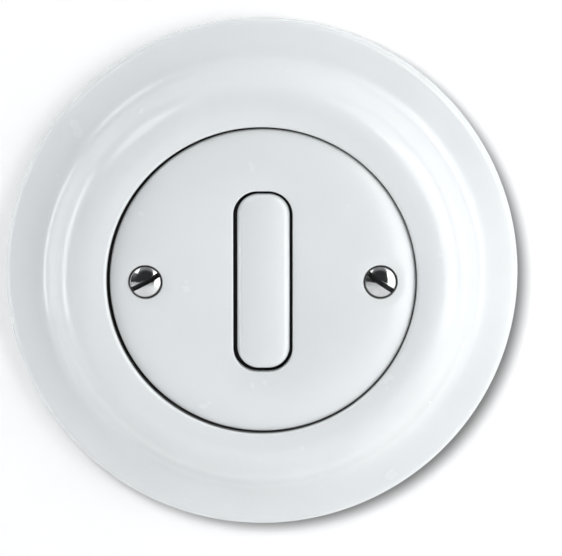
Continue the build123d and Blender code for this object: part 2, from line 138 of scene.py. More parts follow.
# Plate screws
HEAD_RADIUS = 3.02
HEAD_CROWN = 0.9
SHANK_RADIUS = 1.7
SHANK_TIP = -1.2
HEAD_SLOT_WIDTH = 0.95
HEAD_SLOT_DEPTH = 1.5
SLOT_ANGLES = {"left": 29.0, "right": -36.0}
HEAD_RIM = (0.03, 0.12)
HEAD_STEPS = 18
HEAD_SOFTENING = 0.07
HEAD_SOFTENING_ANGLE = 38.0
THREAD_TURNS = 22
THREAD_DEPTH = 0.22
THREAD_MARGIN = 0.4
TIP_CHAMFER = 0.4
CUTTER_LENGTH = 9.0
CUTTER_HEIGHT = 4.0
SCREW_SEGMENTS = 96
FRAME_SEGMENTS = 288

# Steps along rounded outlines: degrees in an arc, length on a run and on an outline's side
TURN_STEP = 6.0
RUN_STEP = 1.2
SIDE_STEP = 0.8

# Springs: body that carries each, joint that presses it, its fixed end and its free and
# pressed length, out of the wall
SPRINGS = {
    "return_spring_upper": ("insert", "key_press", -1.5, 8.5, 6.0),
    "return_spring_lower": ("insert", "key_press", -1.5, 8.5, 6.0),
    "contact_spring": ("bridge", "bridge_press", -11.6, 6.6, 6.1),
}

# Painted shade down in the gaps and screw seats of the porcelain pieces: inside a radius on the frame, under
# a height on the others
GAP_SHADE_COLOUR = (0.07, 0.065, 0.06)
PAINTED_SHADE_FADE = 0.12
FRAME_SHADE_RADIUS = 30.05
PLATE_SHADE_HEIGHT = 10.9
KEY_SHADE_HEIGHT = 11.4

# Glaze: noise in features per metre; ripple and pores also have a depth in metres and a strength
PORCELAIN_WHITE = (0.86, 0.885, 0.895)
CLOUD_SCALE = 55.0
CLOUD_SHADE = 0.965
SPECK_SCALE = 2600.0
SPECK_COLOUR = (0.62, 0.6, 0.56)
SPECK_SHARE = 0.16
SPECK_STRENGTH = 0.8
GLOSS_SCALE = 180.0
GLAZE_ROUGHNESS = (0.20, 0.28)
GLAZE_IOR = 1.52
GLAZE_COAT = 0.4
GLAZE_COAT_ROUGHNESS = 0.14
RIPPLE = (70.0, 0.00012, 0.5)
PORES = (900.0, 0.000006, 0.35)

# Metal, and moulded plastic or ceramic: noise in features per metre
METAL_CLOUD_SCALE = 350.0
METAL_SHADE = 0.82
STREAK_SCALE = 1500.0
SCRATCH_SCALE = 4200.0
SCRATCH_STRENGTH = 0.6
MOULDED_CLOUD_SCALE = 140.0
MOULDED_SHADE = 0.86
MOULDED_GLOSS_SCALE = 500.0
WAVE_SCALE = 320.0
WAVE_DEPTH = 0.00003
PIT_SCALE = 1600.0
PIT_DEPTH = 0.00001

# Painted shade down in the screw slots and under the heads, which are also rougher there
SLOT_SHADE_COLOUR = (0.07, 0.07, 0.07)
SLOT_SHADE_BELOW = 12.93
DULL_ROUGHNESS = 0.4

# Camera and stage
CAMERA_DISTANCE = 0.90
CAMERA_ELEVATION = 9.6
CAMERA_TARGET = (3.50, -1.38)
FOCAL_LENGTH = 294.0
WALL_HOLE = 49.4
WALL_SIZE = 1.6
WALL_SEGMENTS = 96
WALL_COLOUR = (0.93, 0.93, 0.93)
WALL_LIFT = 0.20
FLOOR_DROP = 0.30
FLOOR_COLOUR = (0.85, 0.85, 0.85)
FLOOR_LIFT = 0.15

# Soft contact shade on the wall
SHADE_SHIFT = (1.5, -1.5)
SHADE_SPREAD = 2.0
SHADE_DEPTH = 0.22

# Lamps (position, size, power) and the room's strength on each side
LAMPS = {
    "right_mid": ((0.55, -0.42, 0.06), (0.5, 0.7), 2.65),
    "right_low": ((0.70, -0.20, 0.05), (0.35, 0.8), 0.22),
    "right_top": ((0.45, -0.35, 0.45), (0.4, 0.4), 0.68),
    "upper_left": ((-0.48, -0.42, 0.48), (0.3, 0.3), 0.75),
    "top_low": ((0.0, -0.20, 0.72), (0.7, 0.3), 0.38),
    "left_low": ((-0.76, -0.12, 0.02), (0.18, 0.6), 1.45),
}
ROOM = {"left": 0.05, "right": 0.05, "top": 0.47, "bottom": 0.1, "front": 0.36, "back": 0.8}
ROOM_FRONT_GLOSS = 0.1
ROOM_FRONT_CONE = (35.0, 50.0)
ROOM_COLOUR = (0.94, 0.975, 1.0)


def place(x, y, z):
    """A point of the drawing in the row frame, in metres."""
    return Vector((x * MM, -z * MM, y * MM))


def new_object(name, vertices, faces):
    """Mesh object from drawing coordinates, with its normals made to point outwards."""
    mesh = bpy.data.meshes.new(name)
    mesh.from_pydata([place(*v) for v in vertices], [], faces)
    bm = bmesh.new()
    bm.from_mesh(mesh)
    bmesh.ops.remove_doubles(bm, verts=bm.verts, dist=1e-7)
    bmesh.ops.recalc_face_normals(bm, faces=bm.faces)
    bm.to_mesh(mesh)
    bm.free()
    obj = bpy.data.objects.new(name, mesh)
    bpy.context.scene.collection.objects.link(obj)
    return obj


def smooth(obj, angle):
    """Smooth shading that keeps edges sharper than the angle."""
    obj.data.shade_smooth()
    obj.data.set_sharp_from_angle(angle=math.radians(angle))


def settle(obj):
    """Applies the object's modifiers to its mesh."""
    graph = bpy.context.evaluated_depsgraph_get()
    mesh = bpy.data.meshes.new_from_object(obj.evaluated_get(graph))
    obj.modifiers.clear()
    obj.data = mesh


def dress(obj, body, nodes, material):
    """Attaches a piece to its body, hides the nodes it stands for and gives it its material."""
    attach(obj, body)
    if nodes:
        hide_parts(*nodes)
    obj.data.materials.clear()
    obj.data.materials.append(material)


def divided(path, parts_for):
    """Closed path with each side divided into as many parts as parts_for gives for its length."""
    dense = []
    for i, p in enumerate(path):
        q = path[(i + 1) % len(path)]
        parts = max(1, parts_for(math.dist(p, q)))
        dense += [(p[0] + (q[0] - p[0]) * k / parts, p[1] + (q[1] - p[1]) * k / parts) for k in range(parts)]
    return dense


def rounded_path(corners):
    """Closed path through corners of (point, radius), each rounded, as a list of 2D points."""
    path = []
    for i, (point, radius) in enumerate(corners):
        if radius == 0:
            path.append(point)
            continue
        before = Vector(corners[i - 1][0])
        corner = Vector(point)
        after = Vector(corners[(i + 1) % len(corners)][0])
        a = (before - corner).normalized()
        b = (after - corner).normalized()
        half = a.angle(b) / 2
        reach = radius / math.tan(half)
        centre = corner + (a + b).normalized() * radius / math.sin(half)
        start = corner + a * reach - centre
        end = corner + b * reach - centre
        turn = math.pi - 2 * half
        if start.x * end.y - start.y * end.x < 0:
            turn = -turn
        steps = max(2, math.ceil(abs(math.degrees(turn)) / TURN_STEP))
        for k in range(steps + 1):
            angle = turn * k / steps
            c, s = math.cos(angle), math.sin(angle)
            path.append((centre.x + start.x * c - start.y * s, centre.y + start.x * s + start.y * c))
    return divided(path, lambda length: math.ceil(length / RUN_STEP))


def lathe(name, path, segments, shift=(0, 0), closed=True):
    """Turns a path of (radius, height) about the z axis."""
    vertices = []
    faces = []
    n = len(path)
    for s in range(segments):
        angle = 2 * math.pi * s / segments
        c, d = math.cos(angle), math.sin(angle)
        vertices += [(shift[0] + r * c, shift[1] + r * d, z) for r, z in path]
    for s in range(segments):
        a, b = s * n, (s + 1) % segments * n
        for i in range(n if closed else n - 1):
            j = (i + 1) % n
            faces.append((a + i, a + j, b + j, b + i))
    return new_object(name, vertices, faces)


def stadium(width, length, corner, inset, count):
    """Points round a rectangle with rounded corners, moved inwards by inset."""
    x, y = width / 2 - corner, length / 2 - corner
    radius = corner - inset
    per_corner = count // 4
    points = []
    for k, (sx, sy) in enumerate(((1, 1), (-1, 1), (-1, -1), (1, -1))):
        for i in range(per_corner + 1):
            angle = math.pi / 2 * (k + i / per_corner)
            points.append((sx * x + radius * math.cos(angle), sy * y + radius * math.sin(angle)))
    return divided(points, lambda side: round(side / SIDE_STEP))


def edge_distance(x, y, width, length, corner):
    """Distance outwards from the edge of a rounded rectangle."""
    dx = abs(x) - (width / 2 - corner)
    dy = abs(y) - (length / 2 - corner)
    return math.hypot(max(dx, 0), max(dy, 0)) + min(max(dx, dy), 0) - corner


def circle(radius, count, cx=0.0):
    """Points round a circle."""
    turns = [2 * math.pi * k / count for k in range(count)]
    return [(cx + radius * math.cos(t), radius * math.sin(t)) for t in turns]


def edge_drop(away, radius):
    """How far a rounded edge lies under its face, at a distance from its side."""
    return radius - math.sqrt(max(0.0, radius**2 - (radius - away) ** 2))


def eased(steps, k):
    """Share of a rounded edge's width that its k-th step reaches."""
    return 1 - math.cos(math.pi / 2 * k / steps)


def frame_mesh():
    """Porcelain ring turned from its rounded section."""
    section = [
        ((RECESS_RADIUS, 0), 0),
        ((FRAME_RADIUS, 0), FRAME_EDGE_ROUND),
        ((FRAME_RADIUS, RIM_HEIGHT), RIM_ROUND),
        ((FLARE_RADIUS, FLARE_HEIGHT), FLARE_ROUND),
        ((CREST_RADIUS, CREST_HEIGHT), CREST_ROUND),
        ((FRAME_BORE, CREST_HEIGHT - LIP_DROP), LIP_ROUND),
        ((FRAME_BORE, PLATE_SEAT), FRAME_EDGE_ROUND),
        ((LEDGE_RADIUS, PLATE_SEAT), FRAME_EDGE_ROUND),
        ((LEDGE_RADIUS, LEDGE_BOTTOM), FRAME_EDGE_ROUND),
        ((HOLLOW_INNER, LEDGE_BOTTOM), LEDGE_ROOT_ROUND),
        (HOLLOW_CREST, HOLLOW_ROUND),
        (HOLLOW_FOOT, HOLLOW_ROUND),
        ((RECESS_RADIUS, RECESS_TOP), FRAME_EDGE_ROUND),
    ]
    ring = lathe("cover_frame_glazed", rounded_path(section), FRAME_SEGMENTS, FRAME_SHIFT)
    smooth(ring, 60)
    return ring


def plate_height(x, y):
    """Height of the centre plate's front: rolled edge, crest, dish, dimples and slot edge."""
    r = min(math.hypot(x, y), PLATE_RADIUS)
    if r > PLATE_CREST_RADIUS:
        t = (r - PLATE_CREST_RADIUS) / (PLATE_RADIUS - PLATE_CREST_RADIUS)
        z = PLATE_CREST - (PLATE_CREST - PLATE_EDGE) * t**PLATE_ROLL_POWER
        inside = PLATE_RADIUS - r
        if inside < PLATE_EDGE_ROUND:
            z -= edge_drop(inside, PLATE_EDGE_ROUND)
    else:
        t = r / PLATE_CREST_RADIUS
        z = PLATE_FLOOR + (PLATE_CREST - PLATE_FLOOR) * t * t * (3 - 2 * t)
    hole = math.hypot(abs(x) - SCREW_X, y)
    if hole < DIMPLE_RADIUS:
        t = hole / DIMPLE_RADIUS
        z -= DIMPLE_DEPTH * (1 - t * t) ** 1.5
    if hole < SEAT_RADIUS + SEAT_ROUND:
        z -= edge_drop(max(0.0, hole - SEAT_RADIUS), SEAT_ROUND)
    if hole < SEAT_RADIUS:
        z -= SEAT_RADIUS - hole
    slot = edge_distance(x, y, SLOT_WIDTH, SLOT_LENGTH, SLOT_CORNER)
    if slot < SLOT_DIP_REACH:
        z -= SLOT_DIP * (1 - max(0.0, slot) / SLOT_DIP_REACH) ** 2
    if slot < SLOT_ROUND:
        z -= edge_drop(max(0.0, slot), SLOT_ROUND)
    return z


def clear_of_details(x, y):
    """Whether a point of a dish ring lies clear of the finer rings round seats and slot."""
    hole = math.hypot(abs(x) - SCREW_X, y)
    slot = edge_distance(x, y, SLOT_WIDTH, SLOT_LENGTH, SLOT_CORNER)
    return hole > DISH_CLEAR_OF_SEAT and slot > DISH_CLEAR_OF_SLOT


def plate_loops():
    """Rings of points round the plate's edge, roll, dish, slot and screw seats."""
    loops = []
    for k in range(EDGE_STEPS + 1):
        loops.append(circle(PLATE_RADIUS - PLATE_EDGE_ROUND * eased(EDGE_STEPS, k), EDGE_RING_POINTS))
    for k in range(1, ROLL_RINGS + 1):
        loops.append(circle(PLATE_RADIUS - PLATE_EDGE_ROUND - ROLL_RING_GAP * k, EDGE_RING_POINTS))
    roll_end = PLATE_RADIUS - (PLATE_EDGE_ROUND + ROLL_RING_GAP * ROLL_RINGS)
    for k in range(1, DISH_RINGS + 1):
        ring = circle(roll_end - DISH_RING_GAP * k, DISH_RING_POINTS - DISH_RING_FEWER * k)
        loops.append([p for p in ring if clear_of_details(*p)])
    for k in range(EDGE_STEPS + 1):
        inset = -SLOT_ROUND * eased(EDGE_STEPS, k)
        loops.append(stadium(SLOT_WIDTH, SLOT_LENGTH, SLOT_CORNER, inset, SLOT_EDGE_POINTS))
    for outset, count in SLOT_RINGS:
        loops.append(stadium(SLOT_WIDTH, SLOT_LENGTH, SLOT_CORNER, -outset, count))
    radii = [HOLE_RADIUS, CONE_RING]
    radii += [SEAT_RADIUS + SEAT_ROUND * eased(SEAT_STEPS, k) for k in range(SEAT_STEPS + 1)]
    radii += DIMPLE_RINGS
    for side in (-1, 1):
        loops += [circle(radius, SEAT_RING_POINTS, side * SCREW_X) for radius in radii]
    return loops


def centre_plate_mesh():
    """Closed plate whose front follows plate_height and whose back is flat."""
    points = [p for loop in plate_loops() for p in loop]
    result = delaunay_2d_cdt([Vector(p) for p in points], [], [], 0, 1e-5)
    flat = [tuple(v) for v in result[0]]
    triangles = []
    for face in result[2]:
        x = sum(flat[i][0] for i in face) / 3
        y = sum(flat[i][1] for i in face) / 3
        in_slot = edge_distance(x, y, SLOT_WIDTH, SLOT_LENGTH, SLOT_CORNER) < 0
        in_hole = math.hypot(abs(x) - SCREW_X, y) < HOLE_RADIUS * 0.999
        if not in_slot and not in_hole:
            triangles.append(tuple(face))
    n = len(flat)
    vertices = [(x, y, plate_height(x, y)) for x, y in flat]
    vertices += [(x, y, PLATE_SEAT) for x, y in flat]
    faces = list(triangles)
    faces += [tuple(n + i for i in reversed(t)) for t in triangles]
    borders = {}
    for t in triangles:
        for a, b in ((t[0], t[1]), (t[1], t[2]), (t[2], t[0])):
            if (b, a) in borders:
                del borders[(b, a)]
            else:
                borders[(a, b)] = True
    faces += [(b, a, n + a, n + b) for a, b in borders]
    used = sorted({i for face in faces for i in face})
    order = {old: new for new, old in enumerate(used)}
    vertices = [vertices[i] for i in used]
    return new_object("centre_plate_glazed", vertices, [tuple(order[i] for i in f) for f in faces])


def key_height(x, y, inset):
    """Height of the key's front: crown across, rolled ends and a rounded edge."""
    z = KEY_TOP - KEY_CROWN_RADIUS + math.sqrt(KEY_CROWN_RADIUS**2 - x * x)
    into_end = KEY_END_ROUND - (KEY_LENGTH / 2 - abs(y))
    if into_end > 0:
        z -= KEY_END_DROP * (into_end / KEY_END_ROUND) ** KEY_END_POWER
    if inset < KEY_EDGE_ROUND:
        z -= edge_drop(inset, KEY_EDGE_ROUND)
    return z


def key_mesh():
    """Key with a face crowned across its width, rolled ends and rounded edges."""
    outline = stadium(KEY_WIDTH, KEY_LENGTH, KEY_CORNER, 0, KEY_OUTLINE_POINTS)
    half_x = KEY_WIDTH / 2
    half_run = (KEY_LENGTH - KEY_WIDTH) / 2
    shares = [KEY_EDGE_ROUND / half_x * eased(KEY_EDGE_STEPS, k) for k in range(KEY_EDGE_STEPS + 1)]
    edge = shares[-1]
    shares += [edge + (1 - edge) * k / KEY_FACE_STEPS for k in range(1, KEY_FACE_STEPS)]
    shares.append(KEY_MIDDLE_SHARE)
    vertices = [(x, y, KEY_BOTTOM) for x, y in outline]
    vertices += [(x, y, KEY_SIDE_TOP) for x, y in outline]
    for t in shares:
        for x, y in outline:
            middle = max(-half_run, min(half_run, y))
            px, py = x * (1 - t), y + (middle - y) * t
            inset = -edge_distance(px, py, KEY_WIDTH, KEY_LENGTH, KEY_CORNER)
            vertices.append((px, py, key_height(px, py, max(0.0, inset))))
    n = len(outline)
    faces = [tuple(reversed(range(n)))]
    for k in range(len(shares) + 1):
        for i in range(n):
            j = (i + 1) % n
            faces.append((k * n + i, k * n + j, (k + 1) * n + j, (k + 1) * n + i))
    last = (len(shares) + 1) * n
    faces.append(tuple(range(last, last + n)))
    return new_object("push_key_glazed", vertices, faces)


def screw_path():
    """Half section of a plate screw: domed head, countersunk cone and threaded shank."""
    sphere = (HEAD_RADIUS**2 + HEAD_CROWN**2) / (2 * HEAD_CROWN)
    path = [(0.0, HEAD_SEAT + HEAD_CROWN)]
    for k in range(1, HEAD_STEPS + 1):
        r = HEAD_RADIUS * k / HEAD_STEPS
        path.append((r, HEAD_SEAT + HEAD_CROWN - sphere + math.sqrt(sphere**2 - r * r)))
    cone_low = HEAD_SEAT - (HEAD_RADIUS - SHANK_RADIUS)
    path += [(HEAD_RADIUS - HEAD_RIM[0], HEAD_SEAT - HEAD_RIM[1]), (SHANK_RADIUS, cone_low)]
    pitch = (cone_low - SHANK_TIP - 2 * THREAD_MARGIN) / THREAD_TURNS
    for k in range(THREAD_TURNS):
        z = cone_low - THREAD_MARGIN - k * pitch
        path += [(SHANK_RADIUS, z), (SHANK_RADIUS - THREAD_DEPTH, z - pitch / 2)]
    return path + [(SHANK_RADIUS - TIP_CHAMFER, SHANK_TIP), (0.0, SHANK_TIP)]


def screw_mesh(side):
    """Raised countersunk screw with a straight slot and softened edges."""
    screw = lathe(f"plate_screw_{side}_polished", screw_path(), SCREW_SEGMENTS, closed=False)
    bpy.ops.mesh.primitive_cube_add(size=1)
    cutter = bpy.context.object
    middle = HEAD_SEAT + HEAD_CROWN - HEAD_SLOT_DEPTH + CUTTER_HEIGHT / 2
    cutter.data.transform(Matrix.Diagonal((CUTTER_LENGTH * MM, CUTTER_HEIGHT * MM, HEAD_SLOT_WIDTH * MM, 1)))
    cutter.data.transform(Matrix.Translation((0, -middle * MM, 0)))
    cutter.data.transform(Matrix.Rotation(-math.radians(SLOT_ANGLES[side]), 4, "Y"))
    cut = screw.modifiers.new("slot", "BOOLEAN")
    cut.operation = "DIFFERENCE"
    cut.solver = "EXACT"
    cut.object = cutter
    settle(screw)
    bpy.data.objects.remove(cutter)
    soften = screw.modifiers.new("edges", "BEVEL")
    soften.width = HEAD_SOFTENING * MM
    soften.segments = 3
    soften.limit_method = "ANGLE"
    soften.angle_limit = math.radians(HEAD_SOFTENING_ANGLE)
    settle(screw)
    x = SCREW_X if side == "right" else -SCREW_X
    screw.data.transform(Matrix.Translation((x * MM, 0, 0)))
    smooth(screw, 30)
    return screw


def tree_of(name):
    """New material with its node tree and its shader."""
    material = bpy.data.materials.new(name)
    material.use_nodes = True
    tree = material.node_tree
    return material, tree, tree.nodes["Principled BSDF"]


def math_node(tree, operation, first, second=0.0, clamp=False):
    """Math node with a link or a value on each input."""
    node = tree.nodes.new("ShaderNodeMath")
    node.operation = operation
    node.use_clamp = clamp
    for socket, source in zip(node.inputs, (first, second)):
        if isinstance(source, (int, float)):
            socket.default_value = source
        else:
            tree.links.new(source, socket)
    return node.outputs["Value"]


def vector_node(tree, operation, *sources):
    """Outputs of a vector math node with a link or a vector on each input."""
    node = tree.nodes.new("ShaderNodeVectorMath")
    node.operation = operation
    for socket, source in zip(node.inputs, sources):
        if isinstance(source, tuple):
            socket.default_value = source
        else:
            tree.links.new(source, socket)
    return node.outputs


def map_range(tree, source, low, high, to_low=0.0, to_high=1.0, soft=False):
    """Maps the range from low to high of a value onto another, with soft ends where asked."""
    node = tree.nodes.new("ShaderNodeMapRange")
    if soft:
        node.interpolation_type = "SMOOTHSTEP"
    node.inputs["From Min"].default_value = low
    node.inputs["From Max"].default_value = high
    node.inputs["To Min"].default_value = to_low
    node.inputs["To Max"].default_value = to_high
    tree.links.new(source, node.inputs["Value"])
    return node.outputs["Result"]


def mix_colours(tree, factor, first, second, blend="MIX"):
    """Mix of two colours, each a link or a colour, by a factor that is a link or a value."""
    node = tree.nodes.new("ShaderNodeMix")
    node.data_type = "RGBA"
    node.blend_type = blend
    for name, source in (("Factor", factor), ("A", first), ("B", second)):
        if isinstance(source, float):
            node.inputs[name].default_value = source
        elif isinstance(source, tuple):
            node.inputs[name].default_value = (*source, 1)
        else:
            tree.links.new(source, node.inputs[name])
    return node.outputs["Result"]


def object_point(tree):
    """Where a shaded point lies on the object, in the row frame."""
    return tree.nodes.new("ShaderNodeTexCoord").outputs["Object"]


def axis_distance(tree, point, x, y):
    """Distance of a point from the line out of the wall through x, y of the drawing."""
    flat = vector_node(tree, "MULTIPLY_ADD", point, (1, 0, 1), (-x * MM, 0, -y * MM))["Vector"]
    return vector_node(tree, "LENGTH", flat)["Value"]


def fade(tree, value, edge):
    """Nought under the edge, in mm, and one over it."""
    return map_range(tree, value, (edge - PAINTED_SHADE_FADE) * MM, (edge + PAINTED_SHADE_FADE) * MM)


def height_mask(tree, edge):
    """Nought nearer to the wall than the edge and one further out."""
    return fade(tree, vector_node(tree, "DOT_PRODUCT", object_point(tree), (0, -1, 0))["Value"], edge)


def bore_mask(tree, edge):
    """Nought inside the radius round the frame's axis and one outside it."""
    return fade(tree, axis_distance(tree, object_point(tree), *FRAME_SHIFT), edge)


def seat_mask(tree):
    """Nought inside the two screw seats and one outside them."""
    folded = vector_node(tree, "ABSOLUTE", object_point(tree))["Vector"]
    return fade(tree, axis_distance(tree, folded, SCREW_X, 0), SEAT_RADIUS)


def noise(tree, scale, detail, stretch=(1, 1, 1)):
    """Noise over object coordinates, in features per metre."""
    mapping = tree.nodes.new("ShaderNodeMapping")
    mapping.inputs["Scale"].default_value = stretch
    tree.links.new(object_point(tree), mapping.inputs["Vector"])
    texture = tree.nodes.new("ShaderNodeTexNoise")
    texture.inputs["Scale"].default_value = scale
    texture.inputs["Detail"].default_value = detail
    tree.links.new(mapping.outputs["Vector"], texture.inputs["Vector"])
    return texture.outputs["Fac"]


def ramp(tree, source, stops):
    """Colour ramp of two stops, each a place and a colour."""
    node = tree.nodes.new("ShaderNodeValToRGB")
    for element, (position, colour) in zip(node.color_ramp.elements, stops):
        element.position = position
        element.color = (*colour, 1)
    tree.links.new(source, node.inputs["Fac"])
    return node.outputs["Color"]


def span(tree, source, low, high):
    """Maps the middle half of a noise value onto a range."""
    return map_range(tree, source, 0.25, 0.75, low, high)


def bump(tree, shader, source, distance, strength, base=None):
    """Bump of a height in metres, on top of an earlier one if there is one."""
    node = tree.nodes.new("ShaderNodeBump")
    node.inputs["Strength"].default_value = strength
    node.inputs["Distance"].default_value = distance
    tree.links.new(source, node.inputs["Height"])
    if base:
        tree.links.new(base, node.inputs["Normal"])
    tree.links.new(node.outputs["Normal"], shader.inputs["Normal"])
    return node.outputs["Normal"]


def glaze(name, mask, edge, seats=False):
    """White glazed porcelain: faint cloudiness, rare specks, soft ripple and painted shade down in the gaps.

    The painted shade lies where the mask with this edge is nought and, if asked, in the screw seats.
    """
    material, tree, shader = tree_of(name)
    shade = tuple(c * CLOUD_SHADE for c in PORCELAIN_WHITE)
    body = ramp(tree, noise(tree, CLOUD_SCALE, 4.0), [(0.3, shade), (0.7, PORCELAIN_WHITE)])
    specks = ramp(tree, noise(tree, SPECK_SCALE, 2.0), [(0.0, SPECK_COLOUR), (SPECK_SHARE, (1, 1, 1))])
    white = mix_colours(tree, SPECK_STRENGTH, body, specks, "MULTIPLY")
    # glazed is nought where shade is painted down in the gaps and seats
    glazed = mask(tree, edge)
    if seats:
        glazed = math_node(tree, "MULTIPLY", glazed, seat_mask(tree))
    tree.links.new(mix_colours(tree, glazed, GAP_SHADE_COLOUR, white), shader.inputs["Base Color"])
    rough = span(tree, noise(tree, GLOSS_SCALE, 3.0), *GLAZE_ROUGHNESS)
    tree.links.new(rough, shader.inputs["Roughness"])
    shader.inputs["IOR"].default_value = GLAZE_IOR
    shader.inputs["Coat Weight"].default_value = GLAZE_COAT
    shader.inputs["Coat Roughness"].default_value = GLAZE_COAT_ROUGHNESS
    base = None
    for scale, depth, strength in (RIPPLE, PORES):
        base = bump(tree, shader, noise(tree, scale, 2.0), depth, strength, base)
    return material


def metal(name, tint, rough, grain=(1, 1, 1), scratch=0.000004, shade_below=None):
    """Metal with cloudy colour, streaky roughness and fine scratches along its grain; where asked, painted
    shade and more roughness below a height.
    """
    material, tree, shader = tree_of(name)
    shader.inputs["Metallic"].default_value = 1.0
    dark = tuple(c * METAL_SHADE for c in tint)
    colour = ramp(tree, noise(tree, METAL_CLOUD_SCALE, 5.0, grain), [(0.3, dark), (0.65, tint)])
    streaks = span(tree, noise(tree, STREAK_SCALE, 4.0, grain), rough * 0.7, rough * 1.4)
    if shade_below:
        # polished is nought where shade is painted, low in the slot and under the head
        polished = height_mask(tree, shade_below)
        colour = mix_colours(tree, polished, SLOT_SHADE_COLOUR, colour)
        dull = math_node(tree, "SUBTRACT", 1.0, polished)
        streaks = math_node(tree, "ADD", streaks, math_node(tree, "MULTIPLY", dull, DULL_ROUGHNESS))
    tree.links.new(colour, shader.inputs["Base Color"])
    tree.links.new(streaks, shader.inputs["Roughness"])
    bump(tree, shader, noise(tree, SCRATCH_SCALE, 3.0, grain), scratch, SCRATCH_STRENGTH)
    return material


def moulded(name, tint, rough):
    """Moulded plastic or fired ceramic: cloudy colour, fine pits, uneven roughness."""
    material, tree, shader = tree_of(name)
    dark = tuple(c * MOULDED_SHADE for c in tint)
    colour = ramp(tree, noise(tree, MOULDED_CLOUD_SCALE, 6.0), [(0.3, dark), (0.7, tint)])
    tree.links.new(colour, shader.inputs["Base Color"])
    gloss = span(tree, noise(tree, MOULDED_GLOSS_SCALE, 4.0), rough * 0.85, rough * 1.12)
    tree.links.new(gloss, shader.inputs["Roughness"])
    waves = bump(tree, shader, noise(tree, WAVE_SCALE, 4.0), WAVE_DEPTH, 0.5)
    bump(tree, shader, noise(tree, PIT_SCALE, 3.0), PIT_DEPTH, 0.8, waves)
    return material


def make_materials():
    """One material for each slot of the record."""
    return {
        "frame_glaze": glaze("frame_glaze", bore_mask, FRAME_SHADE_RADIUS),
        "plate_glaze": glaze("plate_glaze", height_mask, PLATE_SHADE_HEIGHT, seats=True),
        "key_glaze": glaze("key_glaze", height_mask, KEY_SHADE_HEIGHT),
        "screw_nickel": metal("screw_nickel", (0.72, 0.73, 0.73), 0.10, shade_below=SLOT_SHADE_BELOW),
        "carrier_plastic": moulded("carrier_plastic", (0.045, 0.045, 0.047), 0.45),
        "cover_plastic": moulded("cover_plastic", (0.055, 0.052, 0.05), 0.4),
        "base_ceramic": moulded("base_ceramic", (0.80, 0.77, 0.70), 0.62),
        "zinc_steel": metal("zinc_steel", (0.62, 0.63, 0.65), 0.3, (1, 1, 8), 0.000006),
        "claw_steel": metal("claw_steel", (0.58, 0.59, 0.61), 0.32, (1, 8, 1), 0.000006),
        "pin_steel": metal("pin_steel", (0.5, 0.5, 0.52), 0.22, (0.2, 4, 4)),
        "screw_steel": metal("screw_steel", (0.6, 0.61, 0.63), 0.25),
        "spring_steel": metal("spring_steel", (0.42, 0.42, 0.44), 0.25, (4, 1, 4)),
        "contact_brass": metal("contact_brass", (0.74, 0.56, 0.27), 0.25, (1, 4, 4)),
        "terminal_brass": metal("terminal_brass", (0.76, 0.58, 0.28), 0.22, (3, 1, 3)),
        "rivet_brass": metal("rivet_brass", (0.70, 0.52, 0.25), 0.2),
        "tip_silver": metal("tip_silver", (0.80, 0.79, 0.76), 0.2),
    }


def make_camera():
    """Camera at the photo's angle, with the object a little left of the middle."""
    data = bpy.data.cameras.new("camera")
    data.lens = FOCAL_LENGTH
    data.sensor_width = 36.0
    data.clip_start = 0.01
    camera = bpy.data.objects.new("camera", data)
    bpy.context.scene.collection.objects.link(camera)
    tilt = math.radians(CAMERA_ELEVATION)
    target = place(CAMERA_TARGET[0], CAMERA_TARGET[1], 0)
    camera.location = target + CAMERA_DISTANCE * Vector((0, -math.cos(tilt), math.sin(tilt)))
    camera.rotation_euler = (math.pi / 2 - tilt, 0, 0)
    bpy.context.scene.camera = camera


def area_light(name, position, size, power):
    """Rectangular soft light aimed at the object's middle."""
    data = bpy.data.lights.new(name, "AREA")
    data.shape = "RECTANGLE"
    data.size, data.size_y = size
    data.energy = power
    light = bpy.data.objects.new(name, data)
    bpy.context.scene.collection.objects.link(light)
    light.location = position
    aim = Vector((0, 0, 0)) - Vector(position)
    light.rotation_euler = aim.to_track_quat("-Z", "Y").to_euler()


def contact_shade(tree):
    """One on the open wall, less in a soft ring at the lower right of the frame."""
    radius = axis_distance(tree, object_point(tree), *SHADE_SHIFT)
    low, high = (FRAME_RADIUS - SHADE_SPREAD) * MM, (FRAME_RADIUS + SHADE_SPREAD) * MM
    return map_range(tree, radius, low, high, to_low=SHADE_DEPTH, soft=True)


